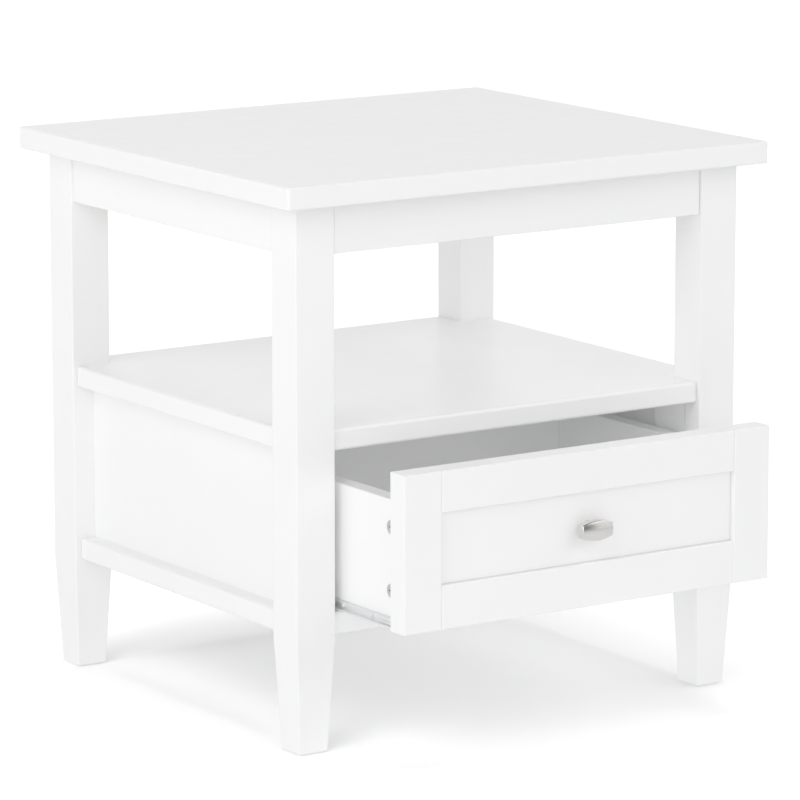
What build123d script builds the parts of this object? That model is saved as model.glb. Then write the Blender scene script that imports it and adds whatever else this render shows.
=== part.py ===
from build123d import *
import os

# A white side table: four tapered legs, a slab top on aprons, an open shelf, and below it a
# cabinet with one drawer on ball-bearing slides. Millimetres, +Z up, front towards -Y.
# The origin is on the floor under the middle of the top. The drawer stands partly open.

# ---------------------------------------------------------------- driving dimensions

table_width = 508.0
table_depth = 457.0
table_height = 500.0

top_thickness = 20.0
top_overhang = 20.0
top_edge_round = 2.0
top_corner_round = 3.0

leg_size = 39.0
leg_edge_round = 1.2
foot_size = 29.0
taper_start = 101.0
foot_chamfer = 0.8
pad_size = 24.0
pad_thickness = 1.5
pad_corner_round = 3.0

apron_height = 44.0
apron_thickness = 18.0
apron_setback = 2.0
apron_edge_round = 1.0
seam_chamfer = 1.2
top_seam_chamfer = 0.8
seam_gap = 0.5
seam_gap_depth = 4.0

shelf_surface = 284.0
shelf_thickness = 19.0
shelf_setback = 4.0
bottom_board_surface = 123.2
bottom_board_thickness = 20.0
bottom_board_setback = 6.0
board_edge_round = 3.0
board_seam_gap = 1.2
board_seam_depth = 12.0

panel_setback = 21.0
panel_thickness = 12.0
slide_block_length = 45.5
slide_block_front_gap = 1.0
slide_block_behind_slide = 6.0

drawer_opening = 104.0
drawer_front_thickness = 21.0
drawer_front_gap = 1.4
drawer_front_bottom = 124.6
drawer_front_top = 262.3
stile_width = 38.5
top_rail_height = 36.5
bottom_rail_height = 38.5
frame_groove_depth = 10.0
front_panel_recess = 5.0
front_panel_thickness = 9.0
front_panel_gap = 0.8
front_panel_gap_depth = 1.5
front_edge_round = 1.5

drawer_side_thickness = 17.0
drawer_side_gap = 7.5
drawer_side_bottom = 126.0
drawer_side_top = 236.2
drawer_inside_depth = 264.5
drawer_back_thickness = 15.0
drawer_bottom_thickness = 6.0
drawer_bottom_level = 133.0
drawer_bottom_groove = 6.0
drawer_bottom_end_groove = 5.0
drawer_bottom_play = 0.3
drawer_rim_round = 1.5

slide_length = 270.0
slide_level = 130.4
slide_end_gap = 1.5
ball_radius = 1.0
ball_count = 10
ball_pitch = 7.2
cage_length = 74.0

dowel_radius = 4.0
dowel_length = 24.0
dowel_inset = 12.0
board_dowel_inset = 18.0
hole_play = 0.05

# ---------------------------------------------------------------- derived places

leg_outer_x = table_width / 2 - top_overhang
leg_outer_y = table_depth / 2 - top_overhang
leg_inner_x = leg_outer_x - leg_size
leg_inner_y = leg_outer_y - leg_size
top_underside = table_height - top_thickness
apron_underside = top_underside - apron_height
shelf_underside = shelf_surface - shelf_thickness

panel_outer_x = leg_outer_x - panel_setback
panel_inner_x = panel_outer_x - panel_thickness
panel_end_y = leg_outer_y - panel_setback

front_face_y = -leg_outer_y - drawer_opening
front_back_y = front_face_y + drawer_front_thickness
front_half_width = leg_inner_x - drawer_front_gap
stile_inner_x = front_half_width - stile_width
front_panel_front_y = front_face_y + front_panel_recess
front_panel_back_y = front_panel_front_y + front_panel_thickness
tongue_front_y = front_panel_front_y + front_panel_gap_depth
top_rail_underside = drawer_front_top - top_rail_height
bottom_rail_surface = drawer_front_bottom + bottom_rail_height

side_outer_x = leg_inner_x - drawer_side_gap
side_inner_x = side_outer_x - drawer_side_thickness
drawer_back_inner_y = front_back_y + drawer_inside_depth
drawer_back_outer_y = drawer_back_inner_y + drawer_back_thickness

slide_front_y = -leg_outer_y + drawer_front_thickness + slide_end_gap
slide_member_front_y = slide_front_y - drawer_opening
slide_travel = 195.0
cage_end_gap = 0.5
cage_closed_front_y = slide_front_y + slide_travel / 2 + cage_end_gap
cage_front_y = cage_closed_front_y - drawer_opening / 2

SIDES = {"left": -1, "right": 1}
ENDS = {"front": -1, "back": 1}


# ---------------------------------------------------------------- shared helpers

def finish(piece, label):
    """Name a finished piece and write it as one STEP file."""
    piece.part.label = label
    export_step(piece.part, f"parts/{label}.step")


def block(low, high, mode=Mode.ADD):
    """A plain block between two opposite corners, added to or cut from the open part."""
    middle = tuple((a + b) / 2 for a, b in zip(low, high))
    size = [abs(b - a) for a, b in zip(low, high)]
    with Locations(middle):
        Box(*size, mode=mode)


def pin(start, direction, radius, length, mode=Mode.ADD):
    """A round pin, or with SUBTRACT a hole, from start along direction in the open part."""
    with Locations(Location(Plane(origin=start, z_dir=direction))):
        Cylinder(radius, length, align=(Align.CENTER, Align.CENTER, Align.MIN), mode=mode)


def drill(start, direction, radius, length):
    """A drilled hole with a little play."""
    pin(start, direction, radius + hole_play, length, Mode.SUBTRACT)


def cross_section(y, level=0):
    """The upright plane at depth y, its origin at that level, drawn on as seen from the front."""
    return Plane(origin=(0, y, level), x_dir=(1, 0, 0), z_dir=(0, -1, 0))


def edges_at(piece, axis, place):
    """The edges that lie in the plane across the axis at that place."""
    return piece.edges().filter_by_position(axis, place - 0.01, place + 0.01)


# ---------------------------------------------------------------- where fasteners go

apron_dowel_levels = (apron_underside + dowel_inset, top_underside - dowel_inset)
front_apron_middle_y = leg_outer_y - apron_setback - apron_thickness / 2
side_apron_middle_x = leg_outer_x - apron_setback - apron_thickness / 2

# Each dowel is (start point, direction), half in the leg and half in the board or apron.
apron_dowels_x = [
    ((sx * (leg_inner_x - dowel_length / 2), sy * front_apron_middle_y, z), (sx, 0, 0))
    for sx in (-1, 1) for sy in (-1, 1) for z in apron_dowel_levels
]
apron_dowels_y = [
    ((sx * side_apron_middle_x, sy * (leg_inner_y - dowel_length / 2), z), (0, sy, 0))
    for sx in (-1, 1) for sy in (-1, 1) for z in apron_dowel_levels
]
apron_dowel_places = apron_dowels_x + apron_dowels_y


def board_dowel_places(middle_z):
    """Two dowels at each leg hold a notched board: one across, one front to back."""
    across_y = leg_inner_y + board_dowel_inset
    along_x = leg_inner_x + board_dowel_inset
    across = [
        ((sx * (leg_inner_x - dowel_length / 2), sy * across_y, middle_z), (sx, 0, 0))
        for sx in (-1, 1) for sy in (-1, 1)
    ]
    along = [
        ((sx * along_x, sy * (leg_inner_y - dowel_length / 2), middle_z), (0, sy, 0))
        for sx in (-1, 1) for sy in (-1, 1)
    ]
    return across + along


shelf_dowel_places = board_dowel_places(shelf_surface - shelf_thickness / 2)
bottom_dowel_places = board_dowel_places(bottom_board_surface - bottom_board_thickness / 2)

# Corner blocks lie flat behind each leg, with a bolt at 45 degrees into the leg.
corner_block_thickness = 25.0
corner_block_reach = 47.0
leg_bolt_level = top_underside - corner_block_thickness / 2
leg_bolt_radius = 4.0
leg_bolt_in_leg = 22.0
leg_bolt_hole_spare = 1.0
apron_inner_y = leg_outer_y - apron_setback - apron_thickness
apron_inner_x = leg_outer_x - apron_setback - apron_thickness
block_face_distance = (leg_inner_y + corner_block_reach - apron_inner_y) / 2 ** 0.5
leg_bolt_outside = 11.0
wood_screw_head_radius = 4.0
wood_screw_head_height = 3.0
wood_screw_radius = 2.0
top_screw_length = 37.0
top_screw_hole_in_top = 13.0
top_screw_from_leg = 30.0
top_screw_from_apron = 8.5
top_screw_offsets = [
    (leg_inner_x - top_screw_from_leg, apron_inner_y - top_screw_from_apron),
    (apron_inner_x - top_screw_from_apron, leg_inner_y - top_screw_from_leg),
]

# Slide screws, by their distance behind the slide's front end.
slide_screw_radius = 1.75
slide_screw_length = 14.0
outer_screw_head_radius = 2.9
inner_screw_head_radius = 2.6
inner_screw_head_height = 1.6
inner_screw_length = 13.0
outer_screw_offsets = (14.0, 34.0, 246.0, 260.0)
inner_screw_offsets = (32.0, 80.0, 240.0)

# Knock-down fittings at the front end of each drawer side.
cam_levels = (157.2, 212.3)
cam_radius = 6.2
cam_depth = 12.5
cam_y = front_back_y + 8.5
cam_slot_length = 6.5
cam_slot_width = 1.4
cam_slot_depth = 2.0
cam_bolt_radius = 3.0
cam_bolt_in_front = 11.0
side_middle_x = side_inner_x + drawer_side_thickness / 2

back_screw_levels = (152.0, 212.0)
back_screw_length = 40.0
back_screw_y = drawer_back_inner_y + drawer_back_thickness / 2

knob_level = (drawer_front_bottom + drawer_front_top) / 2
knob_screw_length = 19.0
knob_screw_radius = 2.0
knob_screw_head_radius = 4.0
knob_screw_head_height = 2.5

# ---------------------------------------------------------------- screw patterns
# Each screw is drawn once at the origin, head down, pointing to +Z.

os.makedirs("parts", exist_ok=True)


def make_screw(head_radius, head_height, shank_radius, length, raised):
    """A screw with a cross recess. A raised head stands below the origin, a flat one above."""
    recess_width = head_radius * 0.28
    recess_length = head_radius * 1.1
    recess_depth = head_height * 0.6
    tip_height = 2 * shank_radius
    with BuildPart() as screw:
        with BuildSketch(Plane.XZ):
            with BuildLine():
                if raised:
                    flat = head_radius * 0.6
                    top = -head_height
                    Line((0, 0), (0, top))
                    Line((0, top), (flat, top))
                    SagittaArc((flat, top), (head_radius, 0), head_radius * 0.12)
                    Line((head_radius, 0), (0, 0))
                else:
                    top = 0
                    Polyline((0, 0), (head_radius, 0), (shank_radius, head_height),
                             (0, head_height), close=True)
            make_face()
        revolve(axis=Axis.Z)
        with BuildSketch(Plane.XZ):
            with BuildLine():
                Polyline((0, 0), (shank_radius, 0), (shank_radius, length - tip_height),
                         (0, length), close=True)
            make_face()
        revolve(axis=Axis.Z)
        for turn in (0, 90):
            with Locations(Location((0, 0, top), (0, 0, turn))):
                Box(recess_length, recess_width, 2 * recess_depth, mode=Mode.SUBTRACT)
    return screw.part


web_thickness = 1.0
top_screw_shape = make_screw(wood_screw_head_radius, wood_screw_head_height, wood_screw_radius,
                             top_screw_length, raised=False)
outer_screw_shape = make_screw(outer_screw_head_radius, web_thickness, slide_screw_radius,
                               slide_screw_length, raised=False)
inner_screw_shape = make_screw(inner_screw_head_radius, inner_screw_head_height, slide_screw_radius,
                               inner_screw_length, raised=True)
back_screw_shape = make_screw(wood_screw_head_radius, wood_screw_head_height, wood_screw_radius,
                              back_screw_length, raised=False)
knob_screw_shape = make_screw(knob_screw_head_radius, knob_screw_head_height, knob_screw_radius,
                              knob_screw_length, raised=True)


def countersink(start, direction, head_radius, shank_radius, depth):
    """The seat of a flat screw head, cut from the open part."""
    with Locations(Location(Plane(origin=start, z_dir=direction))):
        Cone(head_radius + hole_play, shank_radius + hole_play, depth,
             align=(Align.CENTER, Align.CENTER, Align.MIN), mode=Mode.SUBTRACT)


def place_screws(label, shape, places):
    """Write one node that holds a screw at each (start point, direction)."""
    with BuildPart() as screws:
        for start, direction in places:
            with Locations(Location(Plane(origin=start, z_dir=direction))):
                add(shape)
    finish(screws, label)


# ---------------------------------------------------------------- table top

with BuildPart() as table_top:
    with BuildSketch(Plane.XY.offset(top_underside)):
        RectangleRounded(table_width, table_depth, top_corner_round)
    extrude(amount=top_thickness)
    rims = edges_at(table_top, Axis.Z, table_height) + edges_at(table_top, Axis.Z, top_underside)
    fillet(rims, radius=top_edge_round)
    for sx in (-1, 1):
        for sy in (-1, 1):
            for x, y in top_screw_offsets:
                drill((sx * x, sy * y, top_underside), (0, 0, 1), wood_screw_radius,
                      top_screw_hole_in_top)
finish(table_top, "table_top")

# ---------------------------------------------------------------- legs and foot pads


def make_leg(sx, sy, label):
    """A square leg, tapered on all four faces near the floor, at the corner (sx, sy)."""
    middle = (sx * (leg_outer_x - leg_size / 2), sy * (leg_outer_y - leg_size / 2))
    with BuildPart() as leg:
        with BuildSketch(Plane.XY.offset(pad_thickness)):
            with Locations(middle):
                RectangleRounded(foot_size, foot_size, leg_edge_round)
        with BuildSketch(Plane.XY.offset(taper_start)):
            with Locations(middle):
                RectangleRounded(leg_size, leg_size, leg_edge_round)
        loft()
        with BuildSketch(Plane.XY.offset(taper_start)):
            with Locations(middle):
                RectangleRounded(leg_size, leg_size, leg_edge_round)
        extrude(amount=top_underside - taper_start)
        chamfer(edges_at(leg, Axis.Z, pad_thickness), length=foot_chamfer)
        chamfer(edges_at(leg, Axis.Z, top_underside), length=top_seam_chamfer)
        # Rebate at the inner corner, beside the drawer, for the panels.
        block((sx * (leg_inner_x - 1), sy * (leg_inner_y - 1), bottom_board_surface),
              (sx * panel_outer_x, sy * panel_end_y, shelf_underside), Mode.SUBTRACT)
        for start, direction in apron_dowel_places + shelf_dowel_places + bottom_dowel_places:
            if start[0] * sx > 0 and start[1] * sy > 0:
                drill(start, direction, dowel_radius, dowel_length)
        bolt_start = (sx * leg_inner_x, sy * leg_inner_y, leg_bolt_level)
        drill(bolt_start, (sx, sy, 0), leg_bolt_radius, leg_bolt_in_leg + leg_bolt_hole_spare)
    finish(leg, label)


for end_name, sy in ENDS.items():
    for side_name, sx in SIDES.items():
        make_leg(sx, sy, f"leg_{end_name}_{side_name}")

with BuildPart() as foot_pads:
    with BuildSketch(Plane.XY):
        for sx in (-1, 1):
            for sy in (-1, 1):
                with Locations((sx * (leg_outer_x - leg_size / 2), sy * (leg_outer_y - leg_size / 2))):
                    RectangleRounded(pad_size, pad_size, pad_corner_round)
    extrude(amount=pad_thickness)
finish(foot_pads, "foot_pads")

# ---------------------------------------------------------------- aprons

for end_name, sy in ENDS.items():
    outer_y = sy * (leg_outer_y - apron_setback)
    with BuildPart() as apron:
        block((-leg_inner_x, sy * apron_inner_y, apron_underside),
              (leg_inner_x, outer_y, top_underside))
        # A narrow open seam beside each leg.
        for sx in (-1, 1):
            block((sx * (leg_inner_x - seam_gap), outer_y - sy * seam_gap_depth, apron_underside),
                  (sx * leg_inner_x, outer_y, top_underside), Mode.SUBTRACT)
        chamfer(edges_at(apron, Axis.Y, outer_y).filter_by(Axis.Z), length=seam_chamfer)
        chamfer(edges_at(apron, Axis.Y, outer_y).sort_by(Axis.Z)[-1], length=top_seam_chamfer)
        fillet(edges_at(apron, Axis.Y, outer_y).sort_by(Axis.Z)[0], radius=apron_edge_round)
        for start, direction in apron_dowels_x:
            if start[1] * sy > 0:
                drill(start, direction, dowel_radius, dowel_length)
    finish(apron, f"apron_{end_name}")

for side_name, sx in SIDES.items():
    outer_x = sx * (leg_outer_x - apron_setback)
    with BuildPart() as apron:
        block((sx * apron_inner_x, -leg_inner_y, apron_underside),
              (outer_x, leg_inner_y, top_underside))
        for sy in (-1, 1):
            block((outer_x - sx * seam_gap_depth, sy * (leg_inner_y - seam_gap), apron_underside),
                  (outer_x, sy * leg_inner_y, top_underside), Mode.SUBTRACT)
        chamfer(edges_at(apron, Axis.X, outer_x).filter_by(Axis.Z), length=seam_chamfer)
        chamfer(edges_at(apron, Axis.X, outer_x).sort_by(Axis.Z)[-1], length=top_seam_chamfer)
        fillet(edges_at(apron, Axis.X, outer_x).sort_by(Axis.Z)[0], radius=apron_edge_round)
        for start, direction in apron_dowels_y:
            if start[0] * sx > 0:
                drill(start, direction, dowel_radius, dowel_length)
    finish(apron, f"apron_{side_name}")


def make_dowels(label, places):
    """One node with a dowel in each of the given holes."""
    with BuildPart() as dowels:
        for start, direction in places:
            pin(start, direction, dowel_radius, dowel_length)
    finish(dowels, label)


make_dowels("apron_dowels", apron_dowel_places)
make_dowels("shelf_dowels", shelf_dowel_places)
make_dowels("bottom_board_dowels", bottom_dowel_places)

# ---------------------------------------------------------------- corner blocks and leg bolts


def make_corner_block(sx, sy, label):
    """A flat block with a 45 degree face, glued to both aprons and bolted to the leg."""
    outline = [
        (sx * leg_inner_x, sy * apron_inner_y),
        (sx * (leg_inner_x - corner_block_reach), sy * apron_inner_y),
        (sx * apron_inner_x, sy * (leg_inner_y - corner_block_reach)),
        (sx * apron_inner_x, sy * leg_inner_y),
        (sx * leg_inner_x, sy * leg_inner_y),
    ]
    with BuildPart() as corner_block:
        with BuildSketch(Plane.XY.offset(top_underside - corner_block_thickness)):
            with BuildLine():
                Polyline(*outline, close=True)
            make_face()
        extrude(amount=corner_block_thickness)
        inside = (sx * (leg_inner_x - corner_block_reach), sy * (leg_inner_y - corner_block_reach),
                  leg_bolt_level)
        drill(inside, (sx, sy, 0), leg_bolt_radius, 2 * corner_block_reach)
        under = top_underside - corner_block_thickness
        for x, y in top_screw_offsets:
            start = (sx * x, sy * y, under)
            drill(start, (0, 0, 1), wood_screw_radius, corner_block_thickness)
            countersink(start, (0, 0, 1), wood_screw_head_radius, wood_screw_radius,
                        wood_screw_head_height)
    finish(corner_block, label)


for end_name, sy in ENDS.items():
    for side_name, sx in SIDES.items():
        make_corner_block(sx, sy, f"corner_block_{end_name}_{side_name}")

place_screws("top_screws", top_screw_shape, [
    ((sx * x, sy * y, top_underside - corner_block_thickness), (0, 0, 1))
    for sx in (-1, 1) for sy in (-1, 1) for x, y in top_screw_offsets
])


def bolt_point(sx, sy, distance):
    """A point on the bolt's axis, the given distance inwards from the leg's inner corner."""
    step = distance / 2 ** 0.5
    return (sx * (leg_inner_x - step), sy * (leg_inner_y - step), leg_bolt_level)


washer_radius = 9.0
washer_play = 0.2
washer_thickness = 1.6
nut_half_width = 6.5
nut_height = 6.5

with BuildPart() as leg_bolts:
    for sx in (-1, 1):
        for sy in (-1, 1):
            pin(bolt_point(sx, sy, block_face_distance + leg_bolt_outside), (sx, sy, 0),
                leg_bolt_radius, block_face_distance + leg_bolt_outside + leg_bolt_in_leg)
finish(leg_bolts, "leg_bolts")

with BuildPart() as leg_washers:
    for sx in (-1, 1):
        for sy in (-1, 1):
            start = bolt_point(sx, sy, block_face_distance)
            with BuildSketch(Plane(origin=start, z_dir=(-sx, -sy, 0))):
                Circle(washer_radius)
                Circle(leg_bolt_radius + washer_play, mode=Mode.SUBTRACT)
            extrude(amount=washer_thickness)
finish(leg_washers, "leg_washers")

with BuildPart() as leg_nuts:
    for sx in (-1, 1):
        for sy in (-1, 1):
            start = bolt_point(sx, sy, block_face_distance + washer_thickness)
            with BuildSketch(Plane(origin=start, z_dir=(-sx, -sy, 0))):
                RegularPolygon(nut_half_width, 6, major_radius=False)
                Circle(leg_bolt_radius + hole_play, mode=Mode.SUBTRACT)
            extrude(amount=nut_height)
finish(leg_nuts, "leg_nuts")

# ---------------------------------------------------------------- shelf and bottom board


def make_notched_board(surface, thickness, setback, dowel_places, label):
    """A board that fills the space between the legs and is notched round all four."""
    half_x = leg_outer_x - setback
    half_y = leg_outer_y - setback
    with BuildPart() as board:
        with BuildSketch(Plane.XY.offset(surface - thickness)):
            Rectangle(2 * half_x, 2 * leg_inner_y)
            Rectangle(2 * leg_inner_x, 2 * half_y)
        extrude(amount=thickness)
        rims = edges_at(board, Axis.Z, surface) + edges_at(board, Axis.Z, surface - thickness)
        fillet(rims, radius=board_edge_round)
        # A narrow open seam beside each leg.
        for sx in (-1, 1):
            for sy in (-1, 1):
                block((sx * (leg_inner_x - board_seam_gap), sy * (half_y - board_seam_depth), surface),
                      (sx * leg_inner_x, sy * half_y, surface - thickness), Mode.SUBTRACT)
                block((sx * (half_x - board_seam_depth), sy * (leg_inner_y - board_seam_gap), surface),
                      (sx * half_x, sy * leg_inner_y, surface - thickness), Mode.SUBTRACT)
        for start, direction in dowel_places:
            drill(start, direction, dowel_radius, dowel_length)
    finish(board, label)


make_notched_board(shelf_surface, shelf_thickness, shelf_setback, shelf_dowel_places, "shelf_board")
make_notched_board(bottom_board_surface, bottom_board_thickness, bottom_board_setback,
                   bottom_dowel_places, "bottom_board")

# ---------------------------------------------------------------- cabinet panels

slide_block_end_y = slide_front_y + slide_length + slide_block_behind_slide
slide_block_spans = {
    "front": (-panel_end_y + slide_block_front_gap, -panel_end_y + slide_block_length),
    "back": (slide_block_end_y - slide_block_length, slide_block_end_y),
}


def outer_screw_places(sx):
    """Where the screws of one cabinet slide start, on the inside of its web."""
    return [((sx * (leg_inner_x - web_thickness), slide_front_y + offset, slide_level), (sx, 0, 0))
            for offset in outer_screw_offsets]


for side_name, sx in SIDES.items():
    with BuildPart() as side_panel:
        block((sx * panel_inner_x, -panel_end_y, bottom_board_surface),
              (sx * panel_outer_x, panel_end_y, shelf_underside))
        for start, direction in outer_screw_places(sx):
            drill(start, direction, slide_screw_radius, slide_screw_length)
    finish(side_panel, f"side_panel_{side_name}")

    for end_name, (near_y, far_y) in slide_block_spans.items():
        with BuildPart() as slide_block:
            block((sx * leg_inner_x, near_y, bottom_board_surface),
                  (sx * panel_inner_x, far_y, shelf_underside))
            for start, direction in outer_screw_places(sx):
                if near_y < start[1] < far_y:
                    drill(start, direction, slide_screw_radius, slide_screw_length)
        finish(slide_block, f"slide_block_{end_name}_{side_name}")

with BuildPart() as back_panel:
    block((-panel_inner_x, panel_end_y - panel_thickness, bottom_board_surface),
          (panel_inner_x, panel_end_y, shelf_underside))
finish(back_panel, "back_panel")

# ---------------------------------------------------------------- drawer slides
# A slide's section is drawn in two numbers: reach, from the cabinet wall towards the drawer,
# and rise, up or down from the middle of the slide.

race_reach = 4.6
race_rise = 4.95
race_radius = ball_radius + 0.1
outer_half_height = 6.85
outer_lip_inside = 5.3
outer_lip_reach = 6.1
inner_half_height = 4.6
inner_lip_inside = 3.0
inner_lip_reach = 2.9
cage_web_reach = (1.4, 1.9)
cage_lip_rise = (4.75, 5.15)
cage_lip_reach = 5.8
cage_hole_play = 0.15
cage_hole_length = 2.0
bead_length = 23.0
bead_height = 1.4
bead_below_middle = 0.2
bead_width = 1.2


def section_block(sx, reach, rise, mode=Mode.ADD):
    """A rectangle of a slide's section, in the open sketch."""
    x_low, x_high = (sx * (leg_inner_x - r) for r in reach)
    with Locations(((x_low + x_high) / 2, slide_level + (rise[0] + rise[1]) / 2)):
        Rectangle(abs(x_high - x_low), rise[1] - rise[0], mode=mode)


def race_grooves(sx):
    """The two round grooves that the balls run in, cut from the open sketch."""
    with Locations(*[(sx * (leg_inner_x - race_reach), slide_level + s * race_rise) for s in (-1, 1)]):
        Circle(race_radius, mode=Mode.SUBTRACT)


for side_name, sx in SIDES.items():
    with BuildPart() as slide_outer:
        with BuildSketch(cross_section(slide_front_y)):
            section_block(sx, (0, web_thickness), (-outer_half_height, outer_half_height))
            section_block(sx, (0, outer_lip_reach), (outer_lip_inside, outer_half_height))
            section_block(sx, (0, outer_lip_reach), (-outer_half_height, -outer_lip_inside))
            race_grooves(sx)
        extrude(amount=-slide_length)
        for start, direction in outer_screw_places(sx):
            countersink(start, direction, outer_screw_head_radius, slide_screw_radius, web_thickness)
            drill(start, direction, slide_screw_radius, slide_screw_length)
    finish(slide_outer, f"slide_outer_{side_name}")

place_screws("slide_outer_screws", outer_screw_shape,
             outer_screw_places(-1) + outer_screw_places(1))


def inner_screw_places(sx):
    """Where the screws of one drawer slide start, on the outside of its web."""
    return [((sx * (side_outer_x + web_thickness), slide_member_front_y + offset, slide_level),
             (-sx, 0, 0)) for offset in inner_screw_offsets]


side_reach = drawer_side_gap

for side_name, sx in SIDES.items():
    with BuildPart() as slide_inner:
        with BuildSketch(cross_section(slide_member_front_y)):
            section_block(sx, (side_reach - web_thickness, side_reach),
                          (-inner_half_height, inner_half_height))
            section_block(sx, (inner_lip_reach, side_reach), (inner_lip_inside, inner_half_height))
            section_block(sx, (inner_lip_reach, side_reach), (-inner_half_height, -inner_lip_inside))
            race_grooves(sx)
        extrude(amount=-slide_length)
        # Pressed bead that stiffens the front end of the web.
        bead_x = sx * (side_outer_x + web_thickness)
        bead_top = slide_level - bead_below_middle
        block((bead_x, slide_member_front_y, bead_top - bead_height),
              (bead_x + sx * bead_width, slide_member_front_y + bead_length, bead_top))
        for start, direction in inner_screw_places(sx):
            drill(start, direction, slide_screw_radius, slide_screw_length)
    finish(slide_inner, f"slide_inner_{side_name}")

place_screws("slide_inner_screws", inner_screw_shape,
             inner_screw_places(-1) + inner_screw_places(1))

ball_margin = (cage_length - (ball_count - 1) * ball_pitch) / 2
ball_depths = [cage_front_y + ball_margin + n * ball_pitch for n in range(ball_count)]

for side_name, sx in SIDES.items():
    ball_x = sx * (leg_inner_x - race_reach)
    ball_centres = [(ball_x, y, slide_level + s * race_rise) for s in (-1, 1) for y in ball_depths]
    with BuildPart() as ball_cage:
        with BuildSketch(cross_section(cage_front_y)):
            section_block(sx, cage_web_reach, (-cage_lip_rise[1], cage_lip_rise[1]))
            section_block(sx, (cage_web_reach[0], cage_lip_reach), cage_lip_rise)
            section_block(sx, (cage_web_reach[0], cage_lip_reach),
                          (-cage_lip_rise[1], -cage_lip_rise[0]))
        extrude(amount=-cage_length)
        with Locations(*ball_centres):
            Cylinder(ball_radius + cage_hole_play, cage_hole_length, mode=Mode.SUBTRACT)
    finish(ball_cage, f"ball_cage_{side_name}")

    with BuildPart() as balls:
        with Locations(*ball_centres):
            Sphere(ball_radius)
    finish(balls, f"balls_{side_name}")

# ---------------------------------------------------------------- drawer front
# A frame of two stiles and two rails round a thinner panel that sits back in grooves.


def drawer_bottom_slot():
    """The groove for the drawer bottom, cut from the open part."""
    reach_x = side_inner_x + drawer_bottom_groove
    block((-reach_x, front_back_y - drawer_bottom_end_groove, drawer_bottom_level),
          (reach_x, drawer_back_inner_y + drawer_bottom_end_groove,
           drawer_bottom_level + drawer_bottom_thickness),
          Mode.SUBTRACT)


cam_bolt_places = [
    ((sx * side_middle_x, front_back_y - cam_bolt_in_front, z), (0, 1, 0))
    for sx in (-1, 1) for z in cam_levels
]
cam_bolt_length = cam_bolt_in_front + cam_y - front_back_y

for side_name, sx in SIDES.items():
    with BuildPart() as stile:
        block((sx * stile_inner_x, front_face_y, drawer_front_bottom),
              (sx * front_half_width, front_back_y, drawer_front_top))
        fillet(edges_at(stile, Axis.Y, front_face_y), radius=front_edge_round)
        block((sx * (stile_inner_x - 1), tongue_front_y, drawer_front_bottom - 1),
              (sx * (stile_inner_x + frame_groove_depth), front_panel_back_y, drawer_front_top + 1),
              Mode.SUBTRACT)
        drawer_bottom_slot()
        for start, direction in cam_bolt_places:
            if start[0] * sx > 0:
                drill(start, direction, cam_bolt_radius, cam_bolt_length)
    finish(stile, f"drawer_stile_{side_name}")

rail_spans = {
    "top": (top_rail_underside, drawer_front_top),
    "bottom": (drawer_front_bottom, bottom_rail_surface),
}
panel_groove_depth = 8.0

for rail_name, (low_z, high_z) in rail_spans.items():
    tenon_x = stile_inner_x + frame_groove_depth
    with BuildPart() as rail:
        block((-stile_inner_x, front_face_y, low_z), (stile_inner_x, front_back_y, high_z))
        fillet(edges_at(rail, Axis.Y, front_face_y), radius=front_edge_round)
        block((-tenon_x, tongue_front_y, low_z), (tenon_x, front_panel_back_y, high_z))
        inner_z = low_z if rail_name == "top" else high_z
        groove_end = inner_z + (panel_groove_depth if rail_name == "top" else -panel_groove_depth)
        block((-tenon_x - 1, tongue_front_y, inner_z),
              (tenon_x + 1, front_panel_back_y, groove_end), Mode.SUBTRACT)
        if rail_name == "bottom":
            drawer_bottom_slot()
    finish(rail, f"drawer_rail_{rail_name}")

knob_screw_start = (0, front_panel_back_y, knob_level)

with BuildPart() as drawer_front_panel:
    block((-stile_inner_x - frame_groove_depth, tongue_front_y,
           bottom_rail_surface - panel_groove_depth),
          (stile_inner_x + frame_groove_depth, front_panel_back_y,
           top_rail_underside + panel_groove_depth))
    # The face stands forward of the tongue and leaves a narrow gap to the frame.
    field_x = stile_inner_x - front_panel_gap
    block((-field_x, front_panel_front_y, bottom_rail_surface + front_panel_gap),
          (field_x, tongue_front_y, top_rail_underside - front_panel_gap))
    drill(knob_screw_start, (0, -1, 0), knob_screw_radius, knob_screw_length)
finish(drawer_front_panel, "drawer_front_panel")

# ---------------------------------------------------------------- drawer box

back_screw_places = [
    ((sx * side_outer_x, back_screw_y, z), (-sx, 0, 0)) for sx in (-1, 1) for z in back_screw_levels
]

for side_name, sx in SIDES.items():
    with BuildPart() as drawer_side:
        block((sx * side_inner_x, front_back_y, drawer_side_bottom),
              (sx * side_outer_x, drawer_back_outer_y, drawer_side_top))
        rim = drawer_side.edges().filter_by(Axis.Y).group_by(Axis.Z)[-1]
        fillet(rim, radius=drawer_rim_round)
        drawer_bottom_slot()
        for start, direction in cam_bolt_places:
            if start[0] * sx > 0:
                drill(start, direction, cam_bolt_radius, cam_bolt_length)
        for z in cam_levels:
            drill((sx * side_outer_x, cam_y, z), (-sx, 0, 0), cam_radius, cam_depth)
        for start, direction in inner_screw_places(sx):
            drill(start, direction, slide_screw_radius, slide_screw_length)
        for start, direction in back_screw_places:
            if start[0] * sx > 0:
                drill(start, direction, wood_screw_radius, back_screw_length)
                countersink(start, direction, wood_screw_head_radius, wood_screw_radius,
                            wood_screw_head_height)
    finish(drawer_side, f"drawer_side_{side_name}")

with BuildPart() as drawer_back:
    block((-side_inner_x, drawer_back_inner_y, drawer_side_bottom),
          (side_inner_x, drawer_back_outer_y, drawer_side_top))
    rim = drawer_back.edges().filter_by(Axis.X).group_by(Axis.Z)[-1]
    fillet(rim, radius=drawer_rim_round)
    drawer_bottom_slot()
    for start, direction in back_screw_places:
        drill(start, direction, wood_screw_radius, back_screw_length)
finish(drawer_back, "drawer_back")

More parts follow.
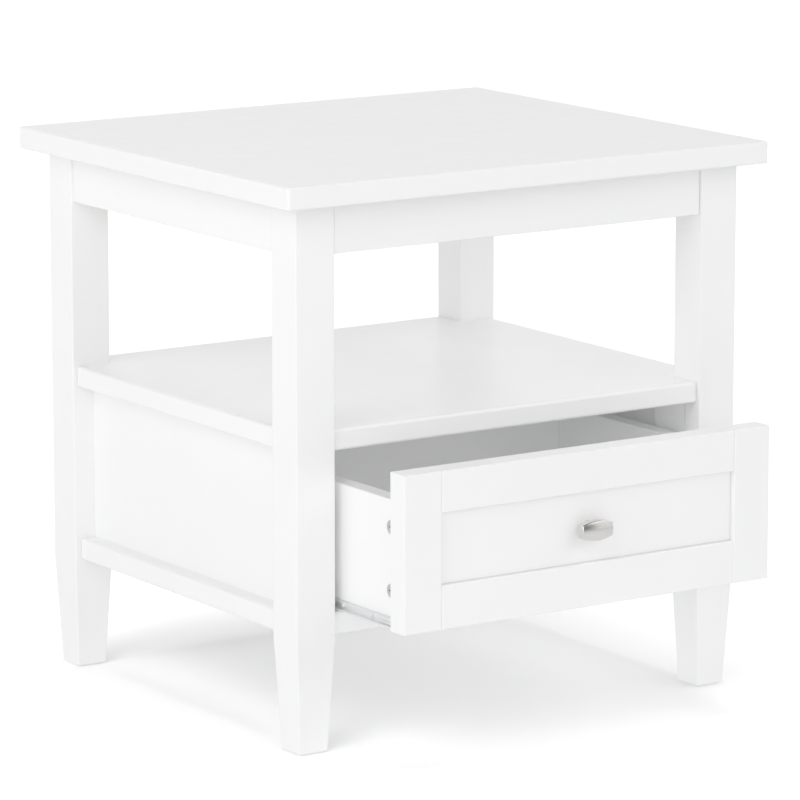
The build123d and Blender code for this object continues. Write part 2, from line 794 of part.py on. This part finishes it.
with BuildPart() as drawer_bottom:
    reach_x = side_inner_x + drawer_bottom_groove - drawer_bottom_play
    end_reach = drawer_bottom_end_groove - drawer_bottom_play
    block((-reach_x, front_back_y - end_reach, drawer_bottom_level),
          (reach_x, drawer_back_inner_y + end_reach, drawer_bottom_level + drawer_bottom_thickness))
finish(drawer_bottom, "drawer_bottom")

place_screws("drawer_back_screws", back_screw_shape, back_screw_places)

# ---------------------------------------------------------------- cam fittings

with BuildPart() as cam_nuts:
    for sx in (-1, 1):
        for z in cam_levels:
            face = (sx * side_outer_x, cam_y, z)
            pin(face, (-sx, 0, 0), cam_radius, cam_depth)
            with Locations(Location(Plane(origin=face, z_dir=(-sx, 0, 0)))):
                Box(cam_slot_length, cam_slot_width, 2 * cam_slot_depth, mode=Mode.SUBTRACT)
                Box(cam_slot_width, cam_slot_length, 2 * cam_slot_depth, mode=Mode.SUBTRACT)
    for start, direction in cam_bolt_places:
        drill(start, direction, cam_bolt_radius, cam_bolt_length)
finish(cam_nuts, "cam_nuts")

with BuildPart() as cam_bolts:
    for start, direction in cam_bolt_places:
        pin(start, direction, cam_bolt_radius, cam_bolt_length)
finish(cam_bolts, "cam_bolts")

# ---------------------------------------------------------------- knob
# A wide pillow: straight short ends, bowed top and bottom, and a ridge across its front.

knob_width = 32.0
knob_end_height = 11.5
knob_middle_height = 17.8
knob_back_y = front_panel_front_y - 7.8
knob_ridge_y = front_panel_front_y - 17.0
knob_front_bow = 1.3
knob_ridge_fall = 2.0
knob_front_swell = 0.35
knob_blank_depth = 20.0
knob_back_chamfer = (0.8, 1.4)
knob_edge_chamfer = 0.5
knob_post_radius = 4.5
knob_base_radius = 7.0
knob_base_thickness = 2.0

with BuildPart() as knob:
    half_width = knob_width / 2
    half_end = knob_end_height / 2
    half_middle = knob_middle_height / 2
    bow = half_middle - half_end
    with BuildSketch(cross_section(knob_back_y, knob_level)):
        with BuildLine():
            SagittaArc((-half_width, half_end), (half_width, half_end), bow)
            Line((half_width, half_end), (half_width, -half_end))
            SagittaArc((half_width, -half_end), (-half_width, -half_end), bow)
            Line((-half_width, -half_end), (-half_width, half_end))
        make_face()
    extrude(amount=knob_back_y - knob_ridge_y)
    # The front is one ridged section swung round an upright axis well behind it.
    swing_radius = (half_width ** 2 + knob_front_bow ** 2) / (2 * knob_front_bow)
    high = knob_level + half_middle
    low = knob_level - half_middle
    rim_y = knob_ridge_y + knob_ridge_fall
    blank_y = knob_ridge_y + knob_blank_depth
    with BuildSketch(Plane.YZ):
        with BuildLine():
            SagittaArc((knob_ridge_y, knob_level), (rim_y, high), knob_front_swell)
            Polyline((rim_y, high), (blank_y, high), (blank_y, low), (rim_y, low))
            SagittaArc((rim_y, low), (knob_ridge_y, knob_level), knob_front_swell)
        make_face()
    revolve(axis=Axis((0, knob_ridge_y + swing_radius, 0), (0, 0, 1)), mode=Mode.INTERSECT)
    chamfer(edges_at(knob, Axis.Y, knob_back_y), length=knob_back_chamfer[0],
            length2=knob_back_chamfer[1])
    # Ease the outline of the front, but keep the ridge crisp.
    front_limit = rim_y + knob_front_bow
    outline = [edge for edge in knob.edges()
               if edge.center().Y < front_limit and abs(edge.center().Z - knob_level) > 1]
    chamfer(outline, length=knob_edge_chamfer)
    pin((0, front_panel_front_y, knob_level), (0, -1, 0), knob_post_radius,
        front_panel_front_y - knob_back_y + 1)
    pin((0, front_panel_front_y, knob_level), (0, -1, 0), knob_base_radius, knob_base_thickness)
    drill(knob_screw_start, (0, -1, 0), knob_screw_radius, knob_screw_length)
finish(knob, "knob")

place_screws("knob_screw", knob_screw_shape, [(knob_screw_start, (0, -1, 0))])
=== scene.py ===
import math

import bpy
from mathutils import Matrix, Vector


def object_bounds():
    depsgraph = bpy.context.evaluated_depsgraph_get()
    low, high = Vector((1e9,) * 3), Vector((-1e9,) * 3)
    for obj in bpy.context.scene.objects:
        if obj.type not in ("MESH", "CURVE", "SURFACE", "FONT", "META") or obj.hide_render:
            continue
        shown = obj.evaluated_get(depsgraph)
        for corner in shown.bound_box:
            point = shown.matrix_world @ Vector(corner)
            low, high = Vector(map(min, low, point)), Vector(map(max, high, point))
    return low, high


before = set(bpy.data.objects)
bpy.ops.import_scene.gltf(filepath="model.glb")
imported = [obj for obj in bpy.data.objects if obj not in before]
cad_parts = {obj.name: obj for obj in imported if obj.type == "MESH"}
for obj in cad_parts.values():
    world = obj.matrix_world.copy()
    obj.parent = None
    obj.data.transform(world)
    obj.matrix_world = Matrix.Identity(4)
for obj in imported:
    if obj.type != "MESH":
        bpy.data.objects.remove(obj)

cad_low, cad_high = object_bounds()
table_middle = (cad_low + cad_high) / 2
scene = bpy.context.scene

# ---------------------------------------------------------------- camera

CAMERA_PLACE = Vector((-2.3782, -3.5672, 1.0929))
CAMERA_AIM = Vector((-0.0139, -0.0376, 0.2630))
CAMERA_LENS = 215.8
SENSOR_WIDTH = 36.0
CAMERA_REACH = 200.0

camera_data = bpy.data.cameras.new("camera")
camera_data.lens = CAMERA_LENS
camera_data.sensor_width = SENSOR_WIDTH
camera_data.clip_end = CAMERA_REACH
camera = bpy.data.objects.new("camera", camera_data)
scene.collection.objects.link(camera)
camera.location = CAMERA_PLACE
camera.rotation_euler = (CAMERA_AIM - CAMERA_PLACE).to_track_quat("-Z", "Y").to_euler()
scene.camera = camera

# ---------------------------------------------------------------- light

VIEW_GAMMA = 1.5
# Light enters the drawer and the space behind it only after many bounces.
DIFFUSE_BOUNCES = 10

WALL_LIGHT = 2.26
# The studio walls, round the compass: (turn, share of WALL_LIGHT). Turn 0 and 1 are behind the
# table, 0.25 is its right, 0.5 its front and 0.75 its left.
LOW_WALL = ((0.0, 0.45), (0.04, 0.37), (0.25, 0.35), (0.31, 0.08), (0.35, 0.36), (0.40, 0.36),
            (0.43, 0.02), (0.5, 0.03), (0.54, 0.85), (0.73, 0.9), (0.78, 0.56), (1.0, 0.45))
HIGH_WALL = ((0.0, 0.3), (0.05, 0.6), (0.22, 0.62), (0.28, 0.9), (0.46, 0.9), (0.54, 0.16),
             (0.95, 0.08), (1.0, 0.3))
# How much each wall counts, by the height of the direction: (height, low wall, high wall).
WALL_SHARES = ((0.0, 1.0, 0.0), (0.32, 1.0, 0.0), (0.37, 0.0, 1.0), (0.68, 0.0, 1.0),
               (0.76, 0.0, 0.06), (1.0, 0.0, 0.04))

# The two lights on the table's left front, in degrees, metres and watts.
KEY_AZIMUTH = 57
KEY_ELEVATION = 42
KEY_POWER = 17.4
SIDE_KEY_AZIMUTH = 80
SIDE_KEY_ELEVATION = 35
SIDE_KEY_POWER = 13.6
SOFT_BOX_DISTANCE = 3.2
SOFT_BOX_SIZE = 1.6

scene.view_settings.view_transform = "Standard"
scene.view_settings.look = "None"
scene.view_settings.gamma = VIEW_GAMMA
scene.cycles.diffuse_bounces = DIFFUSE_BOUNCES

world = bpy.data.worlds.new("studio")
world.use_nodes = True
sky = world.node_tree


def sky_math(operation, first, second):
    """One arithmetic step in the world's nodes."""
    made = sky.nodes.new("ShaderNodeMath")
    made.operation = operation
    for socket, value in zip(made.inputs, (first, second)):
        if isinstance(value, bpy.types.NodeSocket):
            sky.links.new(value, socket)
        else:
            socket.default_value = value
    return made.outputs["Value"]


def sky_ramp(place, stops):
    """A grey ramp over place, through these (position, tone) stops."""
    made = sky.nodes.new("ShaderNodeValToRGB")
    for position, tone in stops[1:-1]:
        made.color_ramp.elements.new(position)
    for element, (position, tone) in zip(made.color_ramp.elements, stops):
        element.position = position
        element.color = (tone, tone, tone, 1.0)
    sky.links.new(place, made.inputs["Fac"])
    return made.outputs["Color"]


def sky_wall(wall, shares):
    """A wall's tones round the compass, faded by the height of the direction."""
    return sky_math("MULTIPLY", sky_ramp(sky_turn, wall), sky_ramp(sky_height, shares))


sky_direction = sky.nodes.new("ShaderNodeSeparateXYZ")
sky.links.new(sky.nodes.new("ShaderNodeTexCoord").outputs["Generated"],
              sky_direction.inputs["Vector"])
sky_angle = sky_math("ARCTAN2", sky_math("MULTIPLY", sky_direction.outputs["X"], -1.0),
                     sky_math("MULTIPLY", sky_direction.outputs["Y"], -1.0))
sky_turn = sky_math("ADD", sky_math("DIVIDE", sky_angle, 2 * math.pi), 0.5)
sky_height = sky_direction.outputs["Z"]
low_wall = sky_wall(LOW_WALL, [(height, low) for height, low, high in WALL_SHARES])
high_wall = sky_wall(HIGH_WALL, [(height, high) for height, low, high in WALL_SHARES])
background = sky.nodes["Background"]
sky.links.new(sky_math("ADD", low_wall, high_wall), background.inputs["Color"])
background.inputs["Strength"].default_value = WALL_LIGHT
scene.world = world


def light_direction(azimuth, elevation):
    """The unit vector towards a light. Azimuth 0 is straight in front of the table and grows
    towards the table's left."""
    a, e = math.radians(azimuth), math.radians(elevation)
    return Vector((-math.sin(a) * math.cos(e), -math.cos(a) * math.cos(e), math.sin(e)))


def turn_light(light, direction):
    """Turn a light that stands in this direction so that it shines back along it."""
    light.rotation_euler = (-direction).to_track_quat("-Z", "Y").to_euler()


def soft_box(name, azimuth, elevation, power):
    """A square area light that looks at the middle of the table."""
    data = bpy.data.lights.new(name, "AREA")
    data.shape = "SQUARE"
    data.size = SOFT_BOX_SIZE
    data.energy = power
    light = bpy.data.objects.new(name, data)
    scene.collection.objects.link(light)
    direction = light_direction(azimuth, elevation)
    light.location = table_middle + SOFT_BOX_DISTANCE * direction
    turn_light(light, direction)


soft_box("key", KEY_AZIMUTH, KEY_ELEVATION, KEY_POWER)
soft_box("side_key", SIDE_KEY_AZIMUTH, SIDE_KEY_ELEVATION, SIDE_KEY_POWER)

# ---------------------------------------------------------------- floor

FLOOR_REACH = 60.0

floor_mesh = bpy.data.meshes.new("floor")
floor_mesh.from_pydata(
    [(-FLOOR_REACH, -FLOOR_REACH, 0), (FLOOR_REACH, -FLOOR_REACH, 0),
     (FLOOR_REACH, FLOOR_REACH, 0), (-FLOOR_REACH, FLOOR_REACH, 0)], [], [(0, 1, 2, 3)])
floor = bpy.data.objects.new("floor", floor_mesh)
scene.collection.objects.link(floor)

# Two soft suns whiten the floor alone, as a lit backdrop would, and leave its shadows.
floor_only = bpy.data.collections.new("floor_only")
floor_only.objects.link(floor)


def floor_sun(name, azimuth, elevation, strength, spread_degrees):
    """A soft sun that lights the floor and nothing else, and doesn't bounce."""
    data = bpy.data.lights.new(name, "SUN")
    data.energy = strength
    data.angle = math.radians(spread_degrees)
    data.cycles.max_bounces = 0
    light = bpy.data.objects.new(name, data)
    scene.collection.objects.link(light)
    light.light_linking.receiver_collection = floor_only
    turn_light(light, light_direction(azimuth, elevation))


floor_sun("floor_overhead", azimuth=0, elevation=90, strength=1.45, spread_degrees=22)
floor_sun("floor_key", azimuth=KEY_AZIMUTH, elevation=KEY_ELEVATION, strength=0.8,
          spread_degrees=28)

# ---------------------------------------------------------------- material helpers

# The part of a noise's range from 0 to 1 that nearly all its values fall in.
NOISE_START = 0.3
NOISE_END = 0.7


def make_material(name, values):
    """A new material with these values set on its Principled shader's own sockets."""
    material = bpy.data.materials.new(name)
    material.use_nodes = True
    shader = material.node_tree.nodes["Principled BSDF"]
    for socket, value in values.items():
        shader.inputs[socket].default_value = value
    return material


def add_node(material, kind, inputs):
    """A new node. An input is a constant or another node's output socket."""
    made = material.node_tree.nodes.new(kind)
    for socket, value in inputs.items():
        if isinstance(value, bpy.types.NodeSocket):
            material.node_tree.links.new(value, made.inputs[socket])
        else:
            made.inputs[socket].default_value = value
    return made


def shader_link(material, socket, source):
    """Drive one socket of the material's Principled shader."""
    shader = material.node_tree.nodes["Principled BSDF"]
    material.node_tree.links.new(source, shader.inputs[socket])


def noise(material, scale, stretch=(1, 1, 1), detail=2.0, roughness=0.5):
    """A noise value from 0 to 1, over places on the piece in metres, scaled along each axis."""
    source = add_node(material, "ShaderNodeTexCoord", {})
    mapping = add_node(material, "ShaderNodeMapping",
                       {"Vector": source.outputs["Object"], "Scale": stretch})
    made = add_node(material, "ShaderNodeTexNoise",
                    {"Vector": mapping.outputs["Vector"], "Scale": scale, "Detail": detail,
                     "Roughness": roughness})
    return made.outputs["Fac"]


def link_colour(material, value, first, second):
    """Base colour that goes from first to second as a noise value grows."""
    ramp = add_node(material, "ShaderNodeValToRGB", {"Fac": value})
    start, end = ramp.color_ramp.elements
    start.position, start.color = NOISE_START, (*first, 1)
    end.position, end.color = NOISE_END, (*second, 1)
    shader_link(material, "Base Color", ramp.outputs["Color"])


def link_roughness(material, value, first, second):
    """Roughness that goes from first to second as a noise value grows."""
    made = add_node(material, "ShaderNodeMapRange",
                    {"Value": value, "From Min": NOISE_START, "From Max": NOISE_END,
                     "To Min": first, "To Max": second})
    shader_link(material, "Roughness", made.outputs["Result"])


def link_bump(material, value, distance, strength):
    """A bump this many metres deep, driven by a noise value."""
    made = add_node(material, "ShaderNodeBump",
                    {"Height": value, "Distance": distance, "Strength": strength})
    shader_link(material, "Normal", made.outputs["Normal"])


# ---------------------------------------------------------------- materials


def white_lacquer():
    """Satin white paint with a slow waviness and slightly uneven gloss."""
    material = make_material("white_lacquer", {"Specular IOR Level": 0.5, "Coat Weight": 0.45,
                                               "Coat Roughness": 0.25})
    link_colour(material, noise(material, 9.0), (0.915, 0.917, 0.92), (0.93, 0.931, 0.933))
    link_roughness(material, noise(material, 40.0, detail=3.0), 0.205, 0.225)
    link_bump(material, noise(material, 9.0, detail=1.0), distance=0.00012, strength=0.2)
    return material


def bare_wood():
    """Unpainted hardwood with its grain along X."""
    material = make_material("bare_wood", {"Specular IOR Level": 0.3})
    grain = noise(material, 1.0, stretch=(6, 90, 90), detail=6.0, roughness=0.6)
    link_colour(material, grain, (0.58, 0.43, 0.27), (0.76, 0.62, 0.44))
    link_roughness(material, grain, 0.75, 0.55)
    link_bump(material, grain, distance=0.0003, strength=0.5)
    return material


def metal(name, dark, light, smooth, rough, stretch, depth):
    """Plated or brushed metal with fine streaks."""
    material = make_material(name, {"Metallic": 1.0})
    streaks = noise(material, 1.0, stretch=stretch, detail=4.0, roughness=0.65)
    link_colour(material, streaks, dark, light)
    link_roughness(material, streaks, smooth, rough)
    link_bump(material, streaks, distance=depth, strength=0.4)
    return material


def pad_plastic():
    """Matt moulded plastic with a fine grain."""
    material = make_material("pad_plastic", {})
    grain = noise(material, 900.0)
    link_colour(material, grain, (0.78, 0.78, 0.77), (0.84, 0.84, 0.83))
    link_roughness(material, grain, 0.55, 0.7)
    link_bump(material, grain, distance=0.0001, strength=0.4)
    return material


def studio_floor():
    """A plain pale floor."""
    material = make_material("studio_floor", {"Roughness": 0.85, "Specular IOR Level": 0.2})
    link_colour(material, noise(material, 0.8), (0.97, 0.97, 0.97), (0.985, 0.985, 0.985))
    return material


# How fine the streaks of a metal are, along each axis, in streaks per metre.
ROLLED_ALONG_Y = (900, 25, 900)
CAST = (500, 500, 500)
POLISHED = (600, 600, 600)
BRUSHED_ALONG_X = (40, 900, 900)

METALS = {
    "zinc_steel": {"dark": (0.78, 0.79, 0.8), "light": (0.88, 0.885, 0.89),
                   "smooth": 0.42, "rough": 0.55, "stretch": ROLLED_ALONG_Y, "depth": 0.00002},
    "cast_zinc": {"dark": (0.42, 0.43, 0.44), "light": (0.56, 0.57, 0.58),
                  "smooth": 0.42, "rough": 0.55, "stretch": CAST, "depth": 0.00003},
    "cage_steel": {"dark": (0.5, 0.51, 0.53), "light": (0.6, 0.61, 0.63),
                   "smooth": 0.35, "rough": 0.45, "stretch": ROLLED_ALONG_Y, "depth": 0.00002},
    "ball_steel": {"dark": (0.7, 0.71, 0.73), "light": (0.78, 0.79, 0.81),
                   "smooth": 0.08, "rough": 0.14, "stretch": POLISHED, "depth": 0.00001},
    "brushed_nickel": {"dark": (0.6, 0.59, 0.57), "light": (0.72, 0.71, 0.69),
                       "smooth": 0.16, "rough": 0.24, "stretch": BRUSHED_ALONG_X,
                       "depth": 0.00002},
}

materials = {"white_lacquer": white_lacquer(), "bare_wood": bare_wood()}
for name, look in METALS.items():
    materials[name] = metal(name, **look)
materials["pad_plastic"] = pad_plastic()

floor_mesh.materials.append(studio_floor())

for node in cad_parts.values():
    for place, old in enumerate(node.data.materials):
        node.data.materials[place] = materials[old.name]
